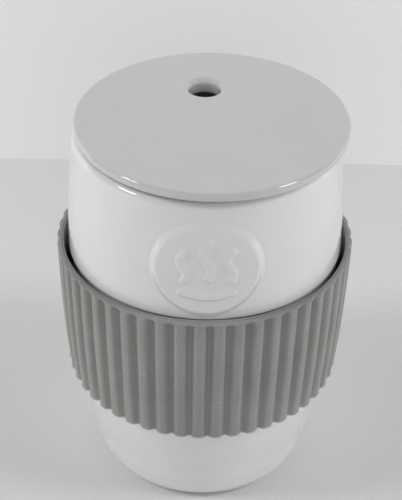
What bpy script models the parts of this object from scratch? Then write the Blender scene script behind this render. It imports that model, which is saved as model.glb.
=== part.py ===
"""Insulated travel mug: double-walled porcelain cup, push-on porcelain lid with a sip hole,
silicone lid seal and a ribbed silicone grip sleeve.

Metres, +Z up. Origin: centre of the foot ring, on the surface that the mug stands on.
The round medallion on the outer wall faces -Y, the sip hole is towards +Y.
"""
import math

import bmesh
import bpy
from mathutils import Matrix, Vector

MM = 0.001

# ---- driving dimensions -------------------------------------------------------------
HEIGHT = 130.0 * MM             # foot to the top of the lid
BODY_MAX_R = 44.75 * MM         # widest point of the outer wall
WALL = 3.0 * MM                 # porcelain wall
BASE_UNDER = 1.8 * MM           # recess inside the foot ring
BASE_TOP = 5.8 * MM             # upper face of the outer wall's floor
RIM_Z = 126.0 * MM              # crest of the mouth rim
GAP = 0.3 * MM                  # clearance between touching pieces

MOUTH_R = 35.5 * MM             # mouth bore
LEDGE_R = 38.3 * MM             # collar that the inner cup drops through
REBATE_R = 39.3 * MM            # rebate that the inner cup's flange sits in
LEDGE_Z = 122.0 * MM

MEDAL_R = 16.3 * MM             # round raised medallion
MEDAL_Z = 104.5 * MM
MEDAL_FACE = 44.9 * MM          # distance of its face from the axis
MEDAL_LEAN = math.radians(3.8)  # it leans back with the wall

SLEEVE_Z0 = 38.4 * MM
SLEEVE_Z1 = 86.9 * MM
SLEEVE_BORE_R = 45.15 * MM      # clears the widest point, so that it slides off downwards
SLEEVE_MOUTH_R = 45.65 * MM     # the bore opens a little at the top
RIBS = 50
RIB_DEPTH = 1.3 * MM
RIB_PHASE = math.radians(1.45)  # first groove, from -Y towards +X

LID_X = 1.5 * MM                # the lid sits a little to one side in its soft seal
LID_R = 42.5 * MM
LID_T = 2.8 * MM               # at its edge
LID_CORE_T = 4.9 * MM           # inside the skirt
SKIRT_R = 31.2 * MM
SKIRT_WALL = 2.8 * MM
SKIRT_Z0 = 115.6 * MM
HOLE_X, HOLE_Y = -0.6 * MM, 18.6 * MM
HOLE_R = 4.9 * MM
HOLE_RIM_R = 6.5 * MM

VENT_R = 3.0 * MM               # vent of the insulating space, in the floor

SEG = 48                        # facets round a turned piece


# ---- scene and materials ------------------------------------------------------------
def clear_scene():
    for ob in list(bpy.data.objects):
        bpy.data.objects.remove(ob, do_unlink=True)
    for col in list(bpy.data.collections):
        bpy.data.collections.remove(col)


def make_collection(name):
    col = bpy.data.collections.new(name)
    bpy.context.scene.collection.children.link(col)
    return col


def principled(name, rgb, rough, metallic=0.0, coat=0.0):
    mat = bpy.data.materials.new(name)
    mat.use_nodes = True
    bsdf = next(n for n in mat.node_tree.nodes if n.type == "BSDF_PRINCIPLED")
    bsdf.inputs["Base Color"].default_value = (*rgb, 1.0)
    bsdf.inputs["Roughness"].default_value = rough
    bsdf.inputs["Metallic"].default_value = metallic
    bsdf.inputs["Coat Weight"].default_value = coat
    mat.diffuse_color = (*rgb, 1.0)
    return mat


# ---- modelling helpers --------------------------------------------------------------
def turned(name, profile, col, steps=SEG, ring=False, centre=(0.0, 0.0)):
    """A turned solid. The profile is (radius, z) in millimetres and runs down the outer side.
    A ring's profile is a closed loop; any other starts and ends on the axis."""
    me = bpy.data.meshes.new(name)
    bm = bmesh.new()
    vs = [bm.verts.new((r * MM, 0.0, z * MM)) for r, z in profile]
    for a, b in zip(vs, vs[1:]):
        bm.edges.new((a, b))
    if ring:
        bm.edges.new((vs[-1], vs[0]))
    bm.to_mesh(me)
    bm.free()
    ob = bpy.data.objects.new(name, me)
    ob.location = (centre[0], centre[1], 0.0)
    col.objects.link(ob)
    sc = ob.modifiers.new("turn", "SCREW")
    sc.axis = "Z"
    sc.angle = 2.0 * math.pi
    sc.steps = steps
    sc.render_steps = steps
    sc.use_merge_vertices = True
    sc.merge_threshold = 0.00001
    sc.use_smooth_shade = True
    return ob


def arc(cx, cz, r, a0, a1, n):
    """Points of a rounded edge, in millimetres, angles in degrees from +X towards +Z."""
    out = []
    for i in range(n + 1):
        a = math.radians(a0 + (a1 - a0) * i / n)
        out.append((cx + r * math.cos(a), cz + r * math.sin(a)))
    return out


def boolean(ob, cutter, operation):
    md = ob.modifiers.new(operation.lower(), "BOOLEAN")
    md.operation = operation
    md.solver = "EXACT"
    md.object = cutter


def as_cutter(ob):
    ob.hide_render = True
    ob.display_type = "WIRE"
    return ob


def with_material(ob, mat):
    ob.data.materials.append(mat)
    return ob


# ---- the outer wall's own curve ------------------------------------------------------
# radius of the outer wall at a few heights, in millimetres: a gentle barrel on a rounded foot
WALL_CURVE = [
    (0.0, 33.9), (0.8, 35.2), (3.0, 36.9), (8.0, 38.3), (14.0, 39.3), (24.0, 41.3), (34.0, 43.1),
    (44.0, 44.2), (58.0, 44.75), (76.0, 44.65), (92.0, 44.2), (106.0, 43.4), (119.5, 42.0),
]


def wall_radius(z):
    """Outer wall's radius at z, both in millimetres."""
    pts = WALL_CURVE
    if z <= pts[0][0]:
        return pts[0][1]
    for (z0, r0), (z1, r1) in zip(pts, pts[1:]):
        if z <= z1:
            return r0 + (r1 - r0) * (z - z0) / (z1 - z0)
    return pts[-1][1]


# ---- pieces -------------------------------------------------------------------------
def build_outer_shell(col, cut, mat):
    t = WALL / MM
    rim = RIM_Z / MM
    outside = [(39.75, rim)]
    outside += arc(39.75, rim - 1.9, 1.9, 78, 20, 3)
    outside += [(41.85, 122.2)]
    outside += [(r, z) for z, r in reversed(WALL_CURVE)]
    under = [(31.6, 0.0), (30.6, 0.9), (29.6, BASE_UNDER / MM), (0.0, BASE_UNDER / MM)]
    inside = [
        (0.0, BASE_TOP / MM), (29.0, BASE_TOP / MM), (33.2, 7.2), (35.6, 12.0),
        (wall_radius(24.0) - t, 24.0), (wall_radius(34.0) - t, 34.0), (wall_radius(58.0) - t, 58.0),
        (wall_radius(92.0) - t, 92.0), (wall_radius(106.0) - t, 106.0), (LEDGE_R / MM, 112.0),
        (LEDGE_R / MM, LEDGE_Z / MM), (REBATE_R / MM, LEDGE_Z / MM), (REBATE_R / MM, rim - 0.3),
    ]
    # from the floor's upper face, up the cavity, over the rim, down the outside, to the underside
    profile = inside + outside + under
    ob = turned("outer_shell", profile, col)

    # round medallion, moulded in one with the wall
    bpy.ops.mesh.primitive_cylinder_add(vertices=36, radius=MEDAL_R, depth=4.6 * MM, end_fill_type="NGON")
    medal = bpy.context.object
    medal.name = "cut_medallion"
    bev = medal.modifiers.new("soft_edge", "BEVEL")
    bev.width = 0.6 * MM
    bev.segments = 1
    bev.limit_method = "ANGLE"
    bev.angle_limit = math.radians(40)
    # its axis points out along -Y and leans up with the wall
    out = Vector((0.0, -math.cos(MEDAL_LEAN), math.sin(MEDAL_LEAN)))
    medal.rotation_mode = "QUATERNION"
    medal.rotation_quaternion = out.to_track_quat("Z", "Y")
    medal.location = Vector((0.0, -MEDAL_FACE, MEDAL_Z)) - out * 2.3 * MM
    for c in list(medal.users_collection):
        c.objects.unlink(medal)
    cut.objects.link(as_cutter(medal))
    boolean(ob, medal, "UNION")

    # vent hole through the floor
    bpy.ops.mesh.primitive_cylinder_add(vertices=20, radius=VENT_R, depth=12.0 * MM, end_fill_type="NGON",
                                        location=(0.0, 0.0, 4.0 * MM))
    vent = bpy.context.object
    vent.name = "cut_vent"
    for c in list(vent.users_collection):
        c.objects.unlink(vent)
    cut.objects.link(as_cutter(vent))
    boolean(ob, vent, "DIFFERENCE")
    return with_material(ob, mat)


def build_inner_liner(col, mat):
    g = GAP / MM
    m = MOUTH_R / MM
    rim = RIM_Z / MM
    fl = REBATE_R / MM - g
    ob = turned("inner_liner", [
        # cup side, from the floor's centre up to the mouth
        (0.0, 10.3), (20.0, 10.7), (26.5, 12.8), (30.6, 17.5), (33.3, 26.0), (34.7, 36.0), (35.2, 46.0),
        (35.2, 108.0), (m, 112.0), (m, rim - 0.9),
        # rim
        (m + 0.3, rim - 0.3), (m + 1.0, rim),
        (fl - 0.6, rim), (fl, rim - 0.5),
        # flange on the ledge, then down the outer side
        (fl, LEDGE_Z / MM + g), (LEDGE_R / MM - g, LEDGE_Z / MM + g), (LEDGE_R / MM - g, 46.0),
        (37.4, 36.0), (36.0, 26.5), (33.2, 16.8), (28.4, 10.8), (21.5, 8.9), (0.0, 8.6),
    ], col)
    return with_material(ob, mat)


def build_vent_plug(col, mat):
    g = GAP / MM
    r = VENT_R / MM - g
    ob = turned("vent_plug", [
        (0.0, 7.0), (3.0, 7.0), (3.7, 6.6), (3.7, 6.1), (r, 6.1), (r, BASE_UNDER / MM - g),
        (4.6, BASE_UNDER / MM - g), (4.6, 1.1), (4.0, 0.7), (0.0, 0.7),
    ], col, steps=20)
    return with_material(ob, mat)


def build_sleeve(col, mat):
    """Turned tube, then its outer face is pushed in along evenly spaced upright grooves. They end
    at the plain lip round the mouth and open through the lower edge."""
    b = SLEEVE_BORE_R / MM
    bt = SLEEVE_MOUTH_R / MM
    z0, z1 = SLEEVE_Z0 / MM, SLEEVE_Z1 / MM
    # radius, z, share of the full groove depth
    loop = [
        (bt + 0.4, z1, 0.0), (47.2, z1, 0.0), (47.9, z1 - 0.5, 0.5), (48.0, z1 - 1.6, 1.0), (47.5, 62.0, 1.0), (46.25, z0 + 0.5, 1.0), (45.95, z0, 0.8),
        (44.3, z0, 0.0), (44.75, 46.5, 0.0), (b, 58.0, 0.0), (b, 68.0, 0.0), (bt, z1 - 0.4, 0.0),
    ]
    ob = turned("sleeve", [(r, z) for r, z, _ in loop], col, steps=RIBS * 3, ring=True)

    deps = bpy.context.evaluated_depsgraph_get()
    me = bpy.data.meshes.new_from_object(ob.evaluated_get(deps))
    bpy.data.objects.remove(ob, do_unlink=True)
    pitch = 2.0 * math.pi / RIBS
    first = RIB_PHASE - math.pi / 2.0
    for v in me.vertices:
        r = math.hypot(v.co.x, v.co.y)
        a = math.atan2(v.co.y, v.co.x)
        share = 0.0
        for pr, pz, ps in loop:
            if abs(pr * MM - r) < 0.00002 and abs(pz * MM - v.co.z) < 0.00002:
                share = ps
        # each rib has three columns of points: the groove's floor and the crest's two edges
        k = round(a / (pitch / 3.0)) % 3
        depth = RIB_DEPTH * share if k == 0 else 0.0
        s = (r - depth) / r
        a += first
        v.co.x, v.co.y = r * s * math.cos(a), r * s * math.sin(a)
    new = bpy.data.objects.new("sleeve", me)
    col.objects.link(new)
    me.shade_smooth()
    me.set_sharp_from_angle(angle=math.radians(35))
    return with_material(new, mat)


def build_lid(col, cut, mat):
    top = HEIGHT / MM
    und = top - LID_T / MM
    core = top - LID_CORE_T / MM
    lr, sr, sw = LID_R / MM, SKIRT_R / MM, SKIRT_WALL / MM
    z0 = SKIRT_Z0 / MM
    profile = [(0.0, core), (sr - sw - 1.2, core), (sr - sw, core - 1.2), (sr - sw, z0 + 0.7),
               (sr - sw + 0.7, z0), (sr - 0.7, z0), (sr, z0 + 0.7),
               # groove that holds the seal's inner bead
               (sr, 119.2), (sr - 0.9, 119.8), (sr - 0.9, 122.2), (sr, 122.8),
               (sr, und)]
    edge = [(lr - 0.9, und), (lr - 0.25, und + 0.3), (lr, und + 0.95), (lr - 0.05, top - 1.2),
            (lr - 0.45, top - 0.42), (lr - 1.4, top), (0.0, top)]
    # the loop starts under the disc, so it is turned over to run down the outer side
    ob = turned("lid", list(reversed(profile + edge)), col, centre=(LID_X, 0.0))

    hr, rr = HOLE_R / MM, HOLE_RIM_R / MM
    hole = turned("cut_sip_hole", [
        (0.0, top + 3.0), (rr, top + 3.0), (rr, top), (rr - 1.1, top - 0.45), (hr, top - 1.6),
        (hr, core - 3.0), (0.0, core - 3.0)], cut, steps=32, centre=(HOLE_X, HOLE_Y))
    boolean(ob, as_cutter(hole), "DIFFERENCE")
    return with_material(ob, mat)


def build_lid_seal(col, cut, mat):
    """Silicone ring: lips round the outside are concentric with the mouth, its bore is concentric
    with the lid's skirt, so it is thicker on the side that the lid has moved away from."""
    g = GAP / MM
    lip = MOUTH_R / MM - 0.35
    core = 34.3
    und = (HEIGHT - LID_T) / MM
    ft, fb = und - g, RIM_Z / MM + g
    body = turned("lid_seal", [
        (0.0, ft), (37.6, ft), (38.0, (ft + fb) / 2), (37.6, fb), (core + 0.2, fb), (core, 125.2),
        (core, 124.6), (lip, 123.9), (lip, 123.4), (core, 122.7),
        (core, 121.6), (lip, 120.9), (lip, 120.4), (core, 119.7),
        (core, 118.6), (lip, 117.9), (lip, 117.4), (core - 0.4, 116.6), (0.0, 116.6),
    ], col)
    sr = SKIRT_R / MM
    bore = turned("cut_seal_bore", [
        (0.0, 131.0), (sr + g, 131.0), (sr + g, 122.5), (sr - 0.6, 121.9), (sr - 0.6, 120.1),
        (sr + g, 119.5), (sr + g, 112.0), (0.0, 112.0)], cut, centre=(LID_X, 0.0))
    boolean(body, as_cutter(bore), "DIFFERENCE")
    return with_material(body, mat)


def main():
    clear_scene()
    col = make_collection("insulated_travel_mug")
    cut = make_collection("cutters")

    porcelain = principled("porcelain_glaze", (0.80, 0.80, 0.79), 0.12, coat=0.5)
    liner_mat = principled("porcelain_glaze_inner", (0.80, 0.80, 0.79), 0.14, coat=0.5)
    lid_mat = principled("porcelain_glaze_lid", (0.78, 0.78, 0.78), 0.12, coat=0.5)
    silicone = principled("grey_silicone", (0.20, 0.20, 0.19), 0.62)
    seal_mat = principled("seal_silicone", (0.55, 0.55, 0.54), 0.55)
    plug_mat = principled("plug_silicone", (0.62, 0.62, 0.60), 0.55)

    build_outer_shell(col, cut, porcelain)
    build_inner_liner(col, liner_mat)
    build_vent_plug(col, plug_mat)
    sleeve = build_sleeve(col, silicone)
    lid = build_lid(col, cut, lid_mat)
    seal = build_lid_seal(col, cut, seal_mat)

    # each moving piece hangs from an empty on its joint's axis
    for name, loc, child in (
        ("axis_sleeve_slide", (0.0, 0.0, SLEEVE_Z0), sleeve),
        ("axis_lid_lift", (0.0, 0.0, RIM_Z), seal),
        ("axis_lid_turn", (LID_X, 0.0, HEIGHT), lid),
    ):
        e = bpy.data.objects.new(name, None)
        e.empty_display_size = 0.01
        e.location = loc
        col.objects.link(e)
        child.parent = e
        child.matrix_parent_inverse = Matrix.Translation(-Vector(loc))


main()
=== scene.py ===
"""Looks of the insulated travel mug: glazed porcelain body and lid, ribbed silicone sleeve,
lid seal and vent plug, on a plain pale floor in soft studio light."""
import math

import bpy
import numpy as np
from mathutils import Matrix, Vector


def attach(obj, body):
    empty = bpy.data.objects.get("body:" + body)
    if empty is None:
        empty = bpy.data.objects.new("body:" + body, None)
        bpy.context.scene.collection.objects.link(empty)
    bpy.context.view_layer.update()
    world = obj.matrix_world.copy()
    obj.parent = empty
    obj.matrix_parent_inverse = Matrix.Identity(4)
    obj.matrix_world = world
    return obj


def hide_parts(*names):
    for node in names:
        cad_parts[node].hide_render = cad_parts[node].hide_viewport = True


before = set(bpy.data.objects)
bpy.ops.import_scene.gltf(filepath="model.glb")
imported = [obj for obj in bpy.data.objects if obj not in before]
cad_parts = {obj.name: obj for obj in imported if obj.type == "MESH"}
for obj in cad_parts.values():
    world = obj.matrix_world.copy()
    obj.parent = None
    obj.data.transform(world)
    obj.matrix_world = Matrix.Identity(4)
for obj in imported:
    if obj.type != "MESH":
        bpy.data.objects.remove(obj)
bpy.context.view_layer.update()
MM = 0.001


# ======================================================================================
# profile tools (millimetres)
# ======================================================================================
def rounded(points, seg_len=1.2, closed=False):
    """A polyline with rounded corners. Each point is (x, z, corner radius); long straight runs are
    divided, and short supports stand next to each corner so that flats shade flat."""
    pts = [np.array(p[:2], float) for p in points]
    rad = [p[2] if len(p) > 2 else 0.0 for p in points]
    n = len(pts)
    corners = []
    for i in range(n):
        if not closed and i in (0, n - 1):
            corners.append([pts[i]])
            continue
        a, b, c = pts[i - 1], pts[i], pts[(i + 1) % n]
        u, v = a - b, c - b
        lu, lv = np.linalg.norm(u), np.linalg.norm(v)
        u, v = u / lu, v / lv
        cosang = float(np.clip(np.dot(u, v), -1, 1))
        ang = math.acos(cosang)
        r = rad[i]
        if r <= 0 or ang > math.pi - 0.02:
            corners.append([b])
            continue
        t = min(r / math.tan(ang / 2), 0.48 * lu, 0.48 * lv)
        r = t * math.tan(ang / 2)
        p0, p1 = b + u * t, b + v * t
        bis = (u + v) / np.linalg.norm(u + v)
        cen = b + bis * (r / math.sin(ang / 2))
        a0 = math.atan2(p0[1] - cen[1], p0[0] - cen[0])
        a1 = math.atan2(p1[1] - cen[1], p1[0] - cen[0])
        d = (a1 - a0 + math.pi) % (2 * math.pi) - math.pi
        k = max(4, int(abs(d) / math.radians(9)))
        corners.append([cen + r * np.array([math.cos(a0 + d * j / k), math.sin(a0 + d * j / k)]) for j in range(k + 1)])
    out = []
    for i in range(n):
        out += corners[i]
        if i == n - 1 and not closed:
            break
        p, q = corners[i][-1], corners[(i + 1) % n][0]
        length = np.linalg.norm(q - p)
        if length < 1e-6:
            continue
        k = max(1, int(math.ceil(length / seg_len)))
        sup = min(0.18, length * 0.25)
        ts = sorted({sup / length, 1 - sup / length} | {j / k for j in range(1, k)})
        out += [p + (q - p) * t for t in ts if 0 < t < 1]
    clean = [out[0]]
    for p in out[1:]:
        if np.linalg.norm(p - clean[-1]) > 0.01:
            clean.append(p)
    return np.array(clean)


def smooth_curve(knots, zs):
    """Monotone-friendly smooth interpolation (Catmull-Rom on unequal knots)."""
    k = np.array(knots, float)
    x, y = k[:, 0], k[:, 1]
    h = np.diff(x)
    s = np.diff(y) / h
    m = np.zeros(len(x))
    m[0], m[-1] = s[0], s[-1]
    for i in range(1, len(x) - 1):
        if s[i - 1] * s[i] <= 0:
            m[i] = (s[i - 1] * h[i] + s[i] * h[i - 1]) / (h[i] + h[i - 1])
        else:
            m[i] = (s[i - 1] * h[i] + s[i] * h[i - 1]) / (h[i] + h[i - 1])
    zs = np.asarray(zs, float)
    i = np.clip(np.searchsorted(x, zs) - 1, 0, len(h) - 1)
    t = (zs - x[i]) / h[i]
    h00 = 2 * t**3 - 3 * t**2 + 1
    h10 = t**3 - 2 * t**2 + t
    h01 = -2 * t**3 + 3 * t**2
    h11 = t**3 - t**2
    return h00 * y[i] + h10 * h[i] * m[i] + h01 * y[i + 1] + h11 * h[i] * m[i + 1]


def sstep(a, b, x):
    t = np.clip((np.asarray(x, float) - a) / (b - a), 0, 1)
    return t * t * (3 - 2 * t)


def ring_mesh(name, X, Y, Z, loop_rows, poles=(False, False)):
    """A mesh from rows of rings (millimetres). X, Y, Z are rows x columns. loop_rows joins the last
    row to the first. A pole row collapses to one point. Rows run so that faces point outwards when
    they go down the outer side."""
    R, C = X.shape
    verts, index = [], np.zeros((R, C), int)
    for i in range(R):
        if (i == 0 and poles[0]) or (i == R - 1 and poles[1]):
            index[i, :] = len(verts)
            verts.append((X[i].mean() * MM, Y[i].mean() * MM, Z[i].mean() * MM))
        else:
            index[i] = np.arange(len(verts), len(verts) + C)
            verts += list(zip(X[i] * MM, Y[i] * MM, Z[i] * MM))
    faces = []
    last = R if loop_rows else R - 1
    for i in range(last):
        a, b = index[i], index[(i + 1) % R]
        an, bn = np.roll(a, -1), np.roll(b, -1)
        for p, q, r, s in zip(a, b, bn, an):
            f = [p, q, r, s]
            if p == s:
                f = [p, q, r]
            elif q == r:
                f = [p, q, s]
            faces.append(f)
    me = bpy.data.meshes.new(name)
    me.from_pydata([tuple(map(float, v)) for v in verts], [], [list(map(int, f)) for f in faces])
    me.update()
    me.shade_smooth()
    ob = bpy.data.objects.new(name, me)
    bpy.context.scene.collection.objects.link(ob)
    return ob


def turned(name, prof, cols=256, centre=(0.0, 0.0), loop_rows=False, poles=(False, False)):
    th = np.linspace(0, 2 * np.pi, cols, endpoint=False)
    X = centre[0] + prof[:, 0:1] * np.cos(th)[None, :]
    Y = centre[1] + prof[:, 0:1] * np.sin(th)[None, :]
    Z = np.repeat(prof[:, 1:2], cols, axis=1)
    return ring_mesh(name, X, Y, Z, loop_rows, poles)


# ======================================================================================
# materials
# ======================================================================================
class Nodes:
    def __init__(self, name):
        self.mat = bpy.data.materials.new(name)
        self.mat.use_nodes = True
        self.t = self.mat.node_tree
        self.bsdf = next(n for n in self.t.nodes if n.type == "BSDF_PRINCIPLED")
        self.tc = self.t.nodes.new("ShaderNodeTexCoord")

    def add(self, kind, **inputs):
        n = self.t.nodes.new(kind)
        for k, v in inputs.items():
            n.inputs[k.replace("_", " ")].default_value = v
        return n

    def link(self, a, b):
        self.t.links.new(a, b)

    def noise(self, scale, detail=3.0, rough=0.5, coord="Object", stretch=None):
        n = self.add("ShaderNodeTexNoise", Scale=scale, Detail=detail, Roughness=rough)
        src = self.tc.outputs[coord]
        if stretch:
            m = self.t.nodes.new("ShaderNodeMapping")
            m.inputs["Scale"].default_value = stretch
            self.link(src, m.inputs["Vector"])
            src = m.outputs["Vector"]
        self.link(src, n.inputs["Vector"])
        return n.outputs["Fac"]

    def ramp(self, src, stops, interp="LINEAR"):
        r = self.t.nodes.new("ShaderNodeValToRGB")
        r.color_ramp.interpolation = interp
        els = r.color_ramp.elements
        while len(els) < len(stops):
            els.new(0.5)
        for e, (p, c) in zip(els, stops):
            e.position = p
            e.color = (*c, 1.0) if len(c) == 3 else c
        self.link(src, r.inputs["Fac"])
        return r.outputs["Color"]

    def mix(self, a, b, fac):
        m = self.t.nodes.new("ShaderNodeMix")
        m.data_type = "RGBA"
        for sock, val in ((m.inputs[0], fac), (m.inputs[6], a), (m.inputs[7], b)):
            if hasattr(val, "is_linked"):
                self.link(val, sock)
            elif isinstance(val, (int, float)):
                sock.default_value = val
            else:
                sock.default_value = (*val, 1.0)
        return m.outputs[2]

    def math(self, op, a, b=None):
        m = self.t.nodes.new("ShaderNodeMath")
        m.operation = op
        for sock, val in ((m.inputs[0], a), (m.inputs[1], b)):
            if val is None:
                continue
            if hasattr(val, "is_linked"):
                self.link(val, sock)
            else:
                sock.default_value = val
        return m.outputs[0]

    def maprange(self, src, a, b, c, d):
        m = self.t.nodes.new("ShaderNodeMapRange")
        for k, v in (("From Min", a), ("From Max", b), ("To Min", c), ("To Max", d)):
            m.inputs[k].default_value = v
        self.link(src, m.inputs["Value"])
        return m.outputs["Result"]

    def bump(self, height, distance, strength=1.0, chain=None):
        b = self.t.nodes.new("ShaderNodeBump")
        b.inputs["Strength"].default_value = strength
        b.inputs["Distance"].default_value = distance
        self.link(height, b.inputs["Height"])
        if chain is not None:
            self.link(chain, b.inputs["Normal"])
        return b.outputs["Normal"]


def porcelain(name, white, rough=0.09, wobble=1.0, warm=(0.0, 0.0, 0.0)):
    """Fired white porcelain under a clear glaze: nearly even colour, a slightly wavy glaze that bends
    reflections, pinholes and a few faint specks."""
    n = Nodes(name)
    b = n.bsdf
    cloud = n.noise(28.0, 3.0, 0.55)
    c1 = tuple(w * 0.985 + d for w, d in zip(white, warm))
    c2 = tuple(min(1.0, w * 1.012) for w in white)
    base = n.mix(c1, c2, n.maprange(cloud, 0.35, 0.65, 0.0, 1.0))
    speck = n.t.nodes.new("ShaderNodeTexVoronoi")
    speck.feature = "F1"
    speck.inputs["Scale"].default_value = 95.0
    speck.inputs["Randomness"].default_value = 1.0
    n.link(n.tc.outputs["Object"], speck.inputs["Vector"])
    dots = n.maprange(speck.outputs["Distance"], 0.030, 0.060, 1.0, 0.0)
    pick = n.maprange(n.noise(37.0, 1.0, 0.4), 0.60, 0.64, 0.0, 0.35)
    base = n.mix(base, (0.46, 0.43, 0.38), n.math("MULTIPLY", dots, pick))
    n.link(base, b.inputs["Base Color"])
    n.link(n.maprange(n.noise(60.0, 4.0, 0.6), 0.3, 0.7, rough * 0.8, rough * 1.35), b.inputs["Roughness"])
    wave = n.noise(42.0, 2.0, 0.45)
    peel = n.noise(420.0, 2.0, 0.5)
    nrm = n.bump(wave, 0.00022 * wobble)
    nrm = n.bump(peel, 0.000006 * wobble, chain=nrm)
    n.link(nrm, b.inputs["Normal"])
    b.inputs["IOR"].default_value = 1.52
    b.inputs["Specular IOR Level"].default_value = 0.5
    b.inputs["Coat Weight"].default_value = 1.0
    b.inputs["Coat Roughness"].default_value = 0.03
    b.inputs["Subsurface Weight"].default_value = 0.0
    return n.mat


def silicone(name, dark, light, rough=0.62, specks=1.0, flash_highlight_z=None):
    """Moulded silicone: matte, fine moulding grain, dust that clings to it."""
    n = Nodes(name)
    b = n.bsdf
    cloud = n.noise(55.0, 4.0, 0.6)
    base = n.mix(dark, light, n.maprange(cloud, 0.3, 0.7, 0.0, 1.0))
    fine = n.noise(1500.0, 2.0, 0.6)
    base = n.mix(base, tuple(min(1.0, c * 1.35) for c in light), n.maprange(fine, 0.55, 0.80, 0.0, 0.30))
    v = n.t.nodes.new("ShaderNodeTexVoronoi")
    v.inputs["Scale"].default_value = 330.0
    n.link(n.tc.outputs["Object"], v.inputs["Vector"])
    dots = n.maprange(v.outputs["Distance"], 0.05, 0.13, 1.0, 0.0)
    pick = n.maprange(n.noise(210.0, 1.0, 0.4), 0.60, 0.66, 0.0, 0.75 * specks)
    base = n.mix(base, (0.55, 0.55, 0.53), n.math("MULTIPLY", dots, pick))
    if flash_highlight_z is not None:
        # thin, paler moulding flash along the lowest edge
        sep = n.t.nodes.new("ShaderNodeSeparateXYZ")
        # painted highlight: the lowest edge, where the moulding flash catches the light, is painted paler
        n.link(n.tc.outputs["Object"], sep.inputs["Vector"])
        base = n.mix(base, (0.50, 0.50, 0.48), n.maprange(sep.outputs["Z"], flash_highlight_z + 0.00045, flash_highlight_z + 0.00078, 0.9, 0.0))
    n.link(base, b.inputs["Base Color"])
    n.link(n.maprange(n.noise(160.0, 3.0, 0.6), 0.3, 0.7, rough - 0.07, rough + 0.08), b.inputs["Roughness"])
    nrm = n.bump(fine, 0.00003)
    nrm = n.bump(n.noise(240.0, 3.0, 0.5), 0.00006, chain=nrm)
    n.link(nrm, b.inputs["Normal"])
    b.inputs["IOR"].default_value = 1.42
    b.inputs["Sheen Weight"].default_value = 0.12
    b.inputs["Sheen Roughness"].default_value = 0.5
    return n.mat


# ======================================================================================
# cup: one continuous glazed body, with the round medallion moulded into its wall
# ======================================================================================
WALL = [(0.0, 33.9), (0.8, 35.2), (3.0, 36.9), (8.0, 38.3), (14.0, 39.3), (24.0, 41.3), (34.0, 43.1),
        (44.0, 44.2), (58.0, 44.75), (76.0, 44.65), (92.0, 44.2), (106.0, 43.4), (119.5, 42.0)]
MED_Z, MED_R, MED_LEAN = 104.3, 15.75, math.radians(3.8)
RIM = 126.0


def stroke(px, py, pts, width):
    """Soft ridge along a polyline: 1 on the line, 0 beyond its width."""
    best = np.full(px.shape, 1e9)
    for (x0, y0), (x1, y1) in zip(pts, pts[1:]):
        dx, dy = x1 - x0, y1 - y0
        t = np.clip(((px - x0) * dx + (py - y0) * dy) / (dx * dx + dy * dy), 0, 1)
        best = np.minimum(best, np.hypot(px - x0 - t * dx, py - y0 - t * dy))
    return 1 - sstep(width * 0.35, width * 1.25, best)


def steam(x0, y0, height, amp, phase, n=24):
    out = []
    for i in range(n + 1):
        s = i / n
        out.append((x0 + amp * math.sin(phase + s * 2.0 * math.pi) * (0.65 + 0.35 * s), y0 + height * s))
    return out


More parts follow.
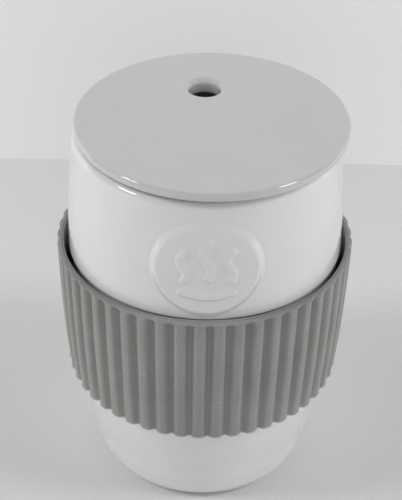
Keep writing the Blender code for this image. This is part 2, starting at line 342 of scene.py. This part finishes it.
def build_cup():
    # outer side, from the rim's crest down to the foot
    front = np.radians(np.linspace(-25.5, 25.5, 256))
    rest = np.radians(np.linspace(25.5, 334.5, 204)[1:-1])
    th = np.concatenate([front, rest])

    inside = rounded([
        (0.0, 10.3), (20.0, 10.6, 12), (27.5, 12.8, 8), (31.4, 18.0, 12), (33.6, 27.0, 30), (34.8, 37.0, 30),
        (35.2, 48.0, 60), (35.2, 108.0, 8), (35.5, 112.0, 8), (35.5, 125.8, 1.3), (37.8, 125.8, 0)], 2.5)
    top = rounded([(37.8, 125.8), (41.4, 125.7, 3.1), (42.0, 119.5, 0)], 0.5)[1:-1]
    top = top[top[:, 1] > 119.9]
    zs = np.concatenate([np.arange(119.6, 86.9, -0.24), np.arange(86.78, 86.35, -0.06), np.arange(86.1, 8.0, -1.5),
                         np.array([7.2, 6.0, 4.8, 3.8, 2.9, 2.2, 1.6, 1.1, 0.75])])
    wall = np.stack([smooth_curve(WALL, zs), zs], 1)
    foot = rounded([(35.05, 0.62), (34.1, 0.0, 0.9), (31.7, 0.0, 0.5), (30.5, 0.95, 0.7), (29.6, 1.8, 0.8),
                    (3.35, 1.8, 0.3), (3.0, 2.2, 0.0), (3.0, 5.4, 0.3), (0.0, 5.4, 0)], 1.6)
    prof = np.concatenate([inside, top, wall, foot])
    R = np.repeat(prof[:, 0:1], len(th), axis=1)
    Z = np.repeat(prof[:, 1:2], len(th), axis=1)
    n_in, n_top = len(inside), len(top)

    # medallion on the outer wall only
    sl = slice(n_in + n_top, n_in + n_top + len(wall))
    r, z = R[sl], Z[sl]
    t = th[None, :]
    x = r * np.sin(t)
    w = (z - MED_Z) / math.cos(MED_LEAN)
    x = np.where(np.cos(t) > 0, x, 1e3)
    d = np.hypot(x, w)
    # its face is flatter than the wall, so it stands further proud towards its sides
    proud = 0.66 + np.minimum(x * x, 300) * 0.0029 + np.minimum(w * w, 300) * 0.0008
    m = sstep(MED_R + 1.35, MED_R - 1.35, d)
    lift = proud * m
    # soft shoulder where the wall rises to it
    lift += 0.10 * np.exp(-((d - MED_R - 1.9) / 1.6) ** 2) * (1 - m)
    # generic relief: three lines of rising steam over a small saucer line
    relief = np.zeros_like(d)
    for x0, y0, hgt, amp, ph in ((-6.6, -3.2, 9.6, 1.25, 0.4), (0.0, -2.4, 11.8, 1.45, 0.4), (6.6, -3.2, 9.6, 1.25, 0.4)):
        relief = np.maximum(relief, stroke(x, w, steam(x0, y0, hgt, amp, ph), 1.45))
    base_line = [(-7.4 + 14.8 * i / 16, -7.6 - 1.5 * math.sin(math.pi * i / 16)) for i in range(17)]
    relief = np.maximum(relief, stroke(x, w, base_line, 1.3))
    lift += 0.42 * relief * sstep(MED_R - 1.0, MED_R - 3.0, d)
    R[sl] = r + np.where(d < 30, lift, 0.0)

    # shallow seat for the sleeve, just under its mouth
    zw = wall[:, 1:2]
    R[sl] -= 0.75 * sstep(86.72, 86.45, zw) * sstep(40.5, 50.0, zw)

    # slip-cast wall: a whisper of unevenness, so that reflections aren't ruled lines
    zz = prof[:, 1:2]
    uneven = 0.05 * np.sin(3 * th[None, :] + 0.05 * zz) + 0.035 * np.sin(5 * th[None, :] - 0.09 * zz + 1.3) \
        + 0.03 * np.sin(0.16 * zz + 2 * th[None, :])
    fade = np.ones_like(prof[:, 0:1])
    fade[prof[:, 0] < 30] = 0.0
    fade[:n_in] = 0.0
    fade *= sstep(0.2, 6.0, zz) * sstep(125.9, 121.0, zz)
    R = R + uneven * fade

    X = R * np.sin(th)[None, :]
    Y = -R * np.cos(th)[None, :]
    return ring_mesh("cup_body", X, Y, Z, False, (True, True))


cup = build_cup()
cup.data.materials.append(porcelain("glazed_porcelain_body", (0.762, 0.762, 0.757), 0.05))
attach(cup, "mug")
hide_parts("outer_shell", "inner_liner")

# ======================================================================================
# lid: disc with a rounded edge, sip hole with a rolled rim, skirt below
# ======================================================================================
LX, LR = 1.5, 42.45
HX, HY, HR, HRIM = -0.6, 18.6, 4.95, 7.3
CORE_Z = 125.1


def build_lid():
    c_l, c_h = np.array([LX, 0.0]), np.array([HX, HY])
    top_z, und = 129.95, 127.2
    rows = []

    def put(c, r, z):
        rows.append((c[0], c[1], r, z))

    # over the top: hole's rolled rim, then out across the disc
    for i in range(11):
        a = math.radians(9 * i)
        # bore wall up into the rim: a quarter ellipse
        put(c_h, HR + (HRIM - HR) * (1 - math.cos(a)), top_z - 1.75 * (1 - math.sin(a)))
    for s in (0.006, 0.02, 0.05, 0.1, 0.18, 0.28, 0.4, 0.52, 0.64, 0.75, 0.84, 0.91, 0.96, 0.985, 1.0):
        put(c_h + (c_l - c_h) * s, HRIM + (LR - 2.05 - HRIM) * s, top_z)
    edge = rounded([(LR - 2.0, top_z), (LR, top_z, 1.75), (LR, und, 0.85), (LR - 2.2, und, 0)], 0.4)
    for r, z in edge[1:]:
        put(c_l, r, z)
    # underside and skirt
    sk = rounded([(LR - 2.2, und), (31.2, und, 1.0), (31.2, 122.8, 0.3), (30.3, 122.2, 0.3), (30.3, 119.8, 0.3),
                  (31.2, 119.2, 0.3), (31.2, 115.6, 0.9), (28.4, 115.6, 0.9), (28.4, CORE_Z, 1.4), (26.5, CORE_Z, 0)], 1.5)
    for r, z in sk[1:]:
        put(c_l, r, z)
    # underside inside the skirt, in to the hole
    r0 = 26.5
    for s in (0.2, 0.45, 0.7, 0.88, 0.97, 1.0):
        put(c_l + (c_h - c_l) * s, r0 + (HR + 0.45 - r0) * s, CORE_Z)
    for i in range(1, 6):
        a = math.radians(18 * i)
        put(c_h, HR + 0.45 * (1 - math.sin(a)), CORE_Z + 0.45 * (1 - math.cos(a)))
    for z in (126.2, 127.2, 128.0):
        put(c_h, HR, z)
    a = np.array(rows)
    n = 288
    th = np.linspace(0, 2 * np.pi, n, endpoint=False)
    X = a[:, 0:1] + a[:, 2:3] * np.cos(th)[None, :]
    Y = a[:, 1:2] + a[:, 2:3] * np.sin(th)[None, :]
    Z = np.repeat(a[:, 3:4], n, axis=1)
    # a fired disc is never quite flat: it sinks a little towards the middle
    rr = np.hypot(X - LX, Y)
    dip = 0.05 * (1 - (np.clip(rr, 0, 40) / 40.0) ** 2)
    Z = Z - dip * (Z > 128.2)
    return ring_mesh("lid_disc", X, Y, Z, True)


lid = build_lid()
# painted shade: the lid is the body's porcelain painted darker, standing in for its up-facing top taking less light
# than the body's sides
lid.data.materials.append(porcelain("glazed_porcelain_lid_painted_shade", (0.585, 0.588, 0.594), 0.045, 0.8))
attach(lid, "lid")
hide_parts("lid")

# ======================================================================================
# silicone lid seal: lips concentric with the mouth, bore concentric with the skirt
# ======================================================================================


def build_seal():
    core, lip = 34.3, 35.12
    outer = rounded([(33.0, 126.9), (38.0, 126.9, 0.28), (38.0, 126.3, 0.28), (core, 126.3, 0.25),
                     (core, 124.6, 0.2), (lip, 123.9, 0.2), (lip, 123.4, 0.2), (core, 122.7, 0.2),
                     (core, 121.6, 0.2), (lip, 120.9, 0.2), (lip, 120.4, 0.2), (core, 119.7, 0.2),
                     (core, 118.6, 0.2), (lip, 117.9, 0.2), (lip, 117.4, 0.2), (core - 0.6, 116.6, 0.3),
                     (33.4, 116.6, 0)], 0.7)
    bore = rounded([(31.9, 116.6), (31.5, 116.6, 0.2), (31.5, 119.5, 0.2), (30.6, 120.1, 0.2), (30.6, 121.9, 0.2),
                    (31.5, 122.5, 0.2), (31.5, 126.9, 0.2), (31.8, 126.9, 0)], 0.8)
    n = 240
    th = np.linspace(0, 2 * np.pi, n, endpoint=False)
    prof = np.concatenate([outer, bore])
    cx = np.concatenate([np.zeros(len(outer)), np.full(len(bore), LX)])[:, None]
    X = cx + prof[:, 0:1] * np.cos(th)[None, :]
    Y = prof[:, 0:1] * np.sin(th)[None, :]
    Z = np.repeat(prof[:, 1:2], n, axis=1)
    return ring_mesh("seal_ring", X, Y, Z, True)


seal = build_seal()
seal.data.materials.append(silicone("seal_silicone", (0.10, 0.10, 0.098), (0.13, 0.13, 0.127), 0.5, 0.3))
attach(seal, "seal")
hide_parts("lid_seal")

# ======================================================================================
# vent plug in the underside
# ======================================================================================
plug = turned("vent_plug_soft", rounded([
    (0.0, 5.2), (2.7, 5.2, 0.3), (2.7, 1.5, 0.15), (4.6, 1.5, 0.25), (4.6, 1.1, 0.35), (3.8, 0.7, 0.5), (1.6, 0.7, 0.3),
    (1.3, 0.95, 0.3), (0.0, 0.95, 0)], 0.5), 96, poles=(True, True))
plug.data.materials.append(silicone("plug_silicone", (0.50, 0.50, 0.49), (0.58, 0.58, 0.57), 0.5, 0.3))
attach(plug, "mug")
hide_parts("vent_plug")

# ======================================================================================
# sleeve: ribbed silicone grip
# ======================================================================================
RIBS, PHASE = 50, math.radians(1.45)
Z0, Z1 = 38.4, 86.9


def build_sleeve():
    per = 18
    n = RIBS * per
    th = PHASE + np.linspace(0, 2 * np.pi, n, endpoint=False)      # from -Y towards +X, first groove at 0
    crest = [(38.4, 46.15), (50.0, 46.95), (62.0, 47.5), (75.0, 47.8), (86.9, 47.95)]
    body = np.concatenate([np.arange(Z1 - 0.6, Z1 - 2.0, -0.2), np.arange(Z1 - 2.2, Z0 + 1.0, -0.85)])
    outer = [(float(smooth_curve(crest, z)), float(z)) for z in body]
    # mouth: a fine bead round the bore, then a flat that the ribs run out from
    lip = rounded([(45.6, Z1 - 3.0), (45.88, Z1, 0.22), (46.16, Z1, 0.2), (46.2, Z1 - 0.28, 0.1), (46.42, Z1 - 0.28, 0.1),
                   (46.5, Z1 - 0.03, 0.12), (47.9, Z1 - 0.06, 0.45), (47.93, Z1 - 0.6, 0)], 0.22)
    low = rounded([(float(smooth_curve(crest, Z0 + 0.95)), Z0 + 0.95), (46.12, Z0, 0.42), (44.35, Z0, 0.35),
                   (44.45, Z0 + 3.0, 0)], 0.16)
    inner = [(44.75, 46.5), (45.0, 52.0), (45.15, 58.0), (45.15, 66.0), (45.25, 72.0), (45.42, 78.0)]
    prof = np.array(list(map(tuple, lip[:-1])) + outer + list(map(tuple, low)) + inner)
    R = np.repeat(prof[:, 0:1], n, axis=1)
    Z = np.repeat(prof[:, 1:2], n, axis=1)
    u = (np.arange(n) % per) / per
    g = (0.5 + 0.5 * np.cos(2 * np.pi * u)) ** 2.3
    # grooves reach the mouth's outer edge and fade in a rounded end
    env = np.where(Z > Z1 - 0.35, 1.0, 0.35 + 0.65 * np.sqrt(np.clip((Z1 - 0.3 - Z) / 1.0, 0, 1)))
    is_out = np.zeros(len(prof), bool)
    is_out[len(lip) - 1:len(lip) - 1 + len(outer)] = True
    lowstart = len(lip) - 1 + len(outer)
    depth = np.interp(prof[:, 1], [38.4, 50, 62, 86.9], [1.25, 1.65, 1.95, 2.05])[:, None]
    k = np.zeros_like(prof[:, 0])
    k[is_out] = 1.0
    for j in range(len(lip) - 1):
        k[j] = 0.35 * float(np.clip((prof[j, 0] - 46.9) / 0.9, 0, 1))
    for j in range(lowstart, lowstart + len(low)):
        # the lower edge is scalloped: the grooves open through it
        k[j] = float(np.clip((prof[j, 0] - 44.7) / 1.1, 0, 1))
    R = R - depth * g[None, :] * env * k[:, None]
    # thin moulding flash round the lower edge
    R = R + 0.34 * np.exp(-((Z - Z0 - 0.30) / 0.30) ** 2) * sstep(45.3, 46.0, prof[:, 0:1])
    # moulded rubber isn't dead straight: slight waviness of the wall and of the rib spacing
    zz = prof[:, 1:2]
    wav = 0.06 * np.sin(2 * th[None, :] + 0.4 + zz * 0.03) + 0.04 * np.sin(7 * th[None, :] + zz * 0.05)
    R = R + np.where(prof[:, 0:1] > 45.9, wav - 0.1, 0.0) * 0.5
    # it hugs the cup at the front
    near = np.abs((th + np.pi) % (2 * np.pi) - np.pi)
    hug = 0.85 * np.exp(-(near / 0.50) ** 2)
    R = R - hug[None, :] * np.clip((46.7 - prof[:, 0:1]) / 0.75, 0, 1) * sstep(79.0, 86.0, zz)
    X = R * np.sin(th)[None, :]
    Y = -R * np.cos(th)[None, :]
    return ring_mesh("grip_sleeve", X, Y, Z, True)


sleeve = build_sleeve()
sleeve.data.materials.append(silicone("grey_silicone", (0.275, 0.274, 0.262), (0.318, 0.316, 0.303), 0.60, 1.5, Z0 * MM))
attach(sleeve, "sleeve")
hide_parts("sleeve")

# ======================================================================================
# stage: pale floor and backdrop, soft light
# ======================================================================================


def plain(name, rgb, rough, one_sided=False):
    n = Nodes(name)
    cl = n.noise(6.0, 3.0, 0.5)
    n.link(n.mix(tuple(c * 0.97 for c in rgb), rgb, cl), n.bsdf.inputs["Base Color"])
    n.bsdf.inputs["Roughness"].default_value = rough
    n.bsdf.inputs["Specular IOR Level"].default_value = 0.2
    if one_sided:
        # nothing to see from behind, so that the object's back isn't hidden
        geo = n.t.nodes.new("ShaderNodeNewGeometry")
        clear = n.t.nodes.new("ShaderNodeBsdfTransparent")
        mixer = n.t.nodes.new("ShaderNodeMixShader")
        out = next(x for x in n.t.nodes if x.type == "OUTPUT_MATERIAL")
        n.link(geo.outputs["Backfacing"], mixer.inputs[0])
        n.link(n.bsdf.outputs[0], mixer.inputs[1])
        n.link(clear.outputs[0], mixer.inputs[2])
        n.link(mixer.outputs[0], out.inputs["Surface"])
    return n.mat


def quad(name, pts, mat):
    me = bpy.data.meshes.new(name)
    me.from_pydata(pts, [], [tuple(range(len(pts)))])
    ob = bpy.data.objects.new(name, me)
    me.materials.append(mat)
    bpy.context.scene.collection.objects.link(ob)
    return ob


WY, SLOPE, LEAN = 0.178, -0.012, 0.55
quad("floor", [(-1.6, -1.6, 0), (1.6, -1.6, 0), (1.6, 1.6, 0), (-1.6, 1.6, 0)],
     plain("pale_floor", (0.75, 0.746, 0.737), 0.75))
quad("backdrop", [(-1.6, WY - 1.6 * SLOPE, 0), (1.6, WY + 1.6 * SLOPE, 0), (1.6, WY + LEAN + 1.6 * SLOPE, 1.6), (-1.6, WY + LEAN - 1.6 * SLOPE, 1.6)],
     plain("pale_backdrop", (0.90, 0.895, 0.89), 0.8, True))

world = bpy.data.worlds.new("soft_room")
bpy.context.scene.world = world
world.use_nodes = True
bg = next(n for n in world.node_tree.nodes if n.type == "BACKGROUND")
bg.inputs["Color"].default_value = (0.93, 0.96, 1.0, 1.0)
bg.inputs["Strength"].default_value = 0.220


def area(name, loc, target, size, power, mirrored=True):
    li = bpy.data.lights.new(name, "AREA")
    li.shape = "RECTANGLE"
    li.size, li.size_y = size
    li.energy = power
    ob = bpy.data.objects.new(name, li)
    ob.location = loc
    ob.rotation_euler = (Vector(target) - Vector(loc)).to_track_quat("-Z", "Y").to_euler()
    ob.visible_glossy = mirrored
    ob.visible_camera = False
    bpy.context.scene.collection.objects.link(ob)
    return ob


area("softbox_left", (-0.88, -0.21, 0.97), (0, 0, 0.08), (0.30, 0.13), 3.6)
area("softbox_right", (0.83, -0.27, 1.00), (0, 0, 0.08), (0.30, 0.13), 3.4)
area("panel_left", (-0.95, 0.02, 0.28), (0, 0, 0.08), (0.7, 0.5), 3.2, False)
area("panel_right", (0.95, 0.02, 0.28), (0, 0, 0.08), (0.7, 0.5), 3.2, False)
area("front_fill", (0.0, -1.25, 0.50), (0, 0, 0.10), (1.0, 0.5), 3.0, False)
bpy.context.scene.view_settings.view_transform = "Standard"

# ======================================================================================
# camera
# ======================================================================================
EL, AZ, DIST, TY, ROLL, TX, F = math.radians(36.78), math.radians(-0.98), 0.3962, 0.0792, math.radians(-1.1), 3.38, 1200.0
back = Vector((math.sin(AZ) * math.cos(EL), -math.cos(AZ) * math.cos(EL), math.sin(EL)))
centre = Vector((0, 0, TY)) + back * DIST
right = Vector((math.cos(AZ), math.sin(AZ), 0))
up = back.cross(right)
cam_x = math.cos(ROLL) * right - math.sin(ROLL) * up
cam_y = math.sin(ROLL) * right + math.cos(ROLL) * up
centre = centre - cam_x * (TX * DIST / F)
cam_data = bpy.data.cameras.new("camera")
cam_data.sensor_fit = "AUTO"
cam_data.sensor_width = 36.0
cam_data.lens = F * 36.0 / 500.0
cam_data.clip_start = 0.01
cam_data.clip_end = 20.0
cam = bpy.data.objects.new("camera", cam_data)
m = Matrix.Identity(4)
for i, v in enumerate((cam_x, cam_y, back)):
    for j in range(3):
        m[j][i] = v[j]
for j in range(3):
    m[j][3] = centre[j]
cam.matrix_world = m
bpy.context.scene.collection.objects.link(cam)
bpy.context.scene.camera = cam

bpy.context.view_layer.update()
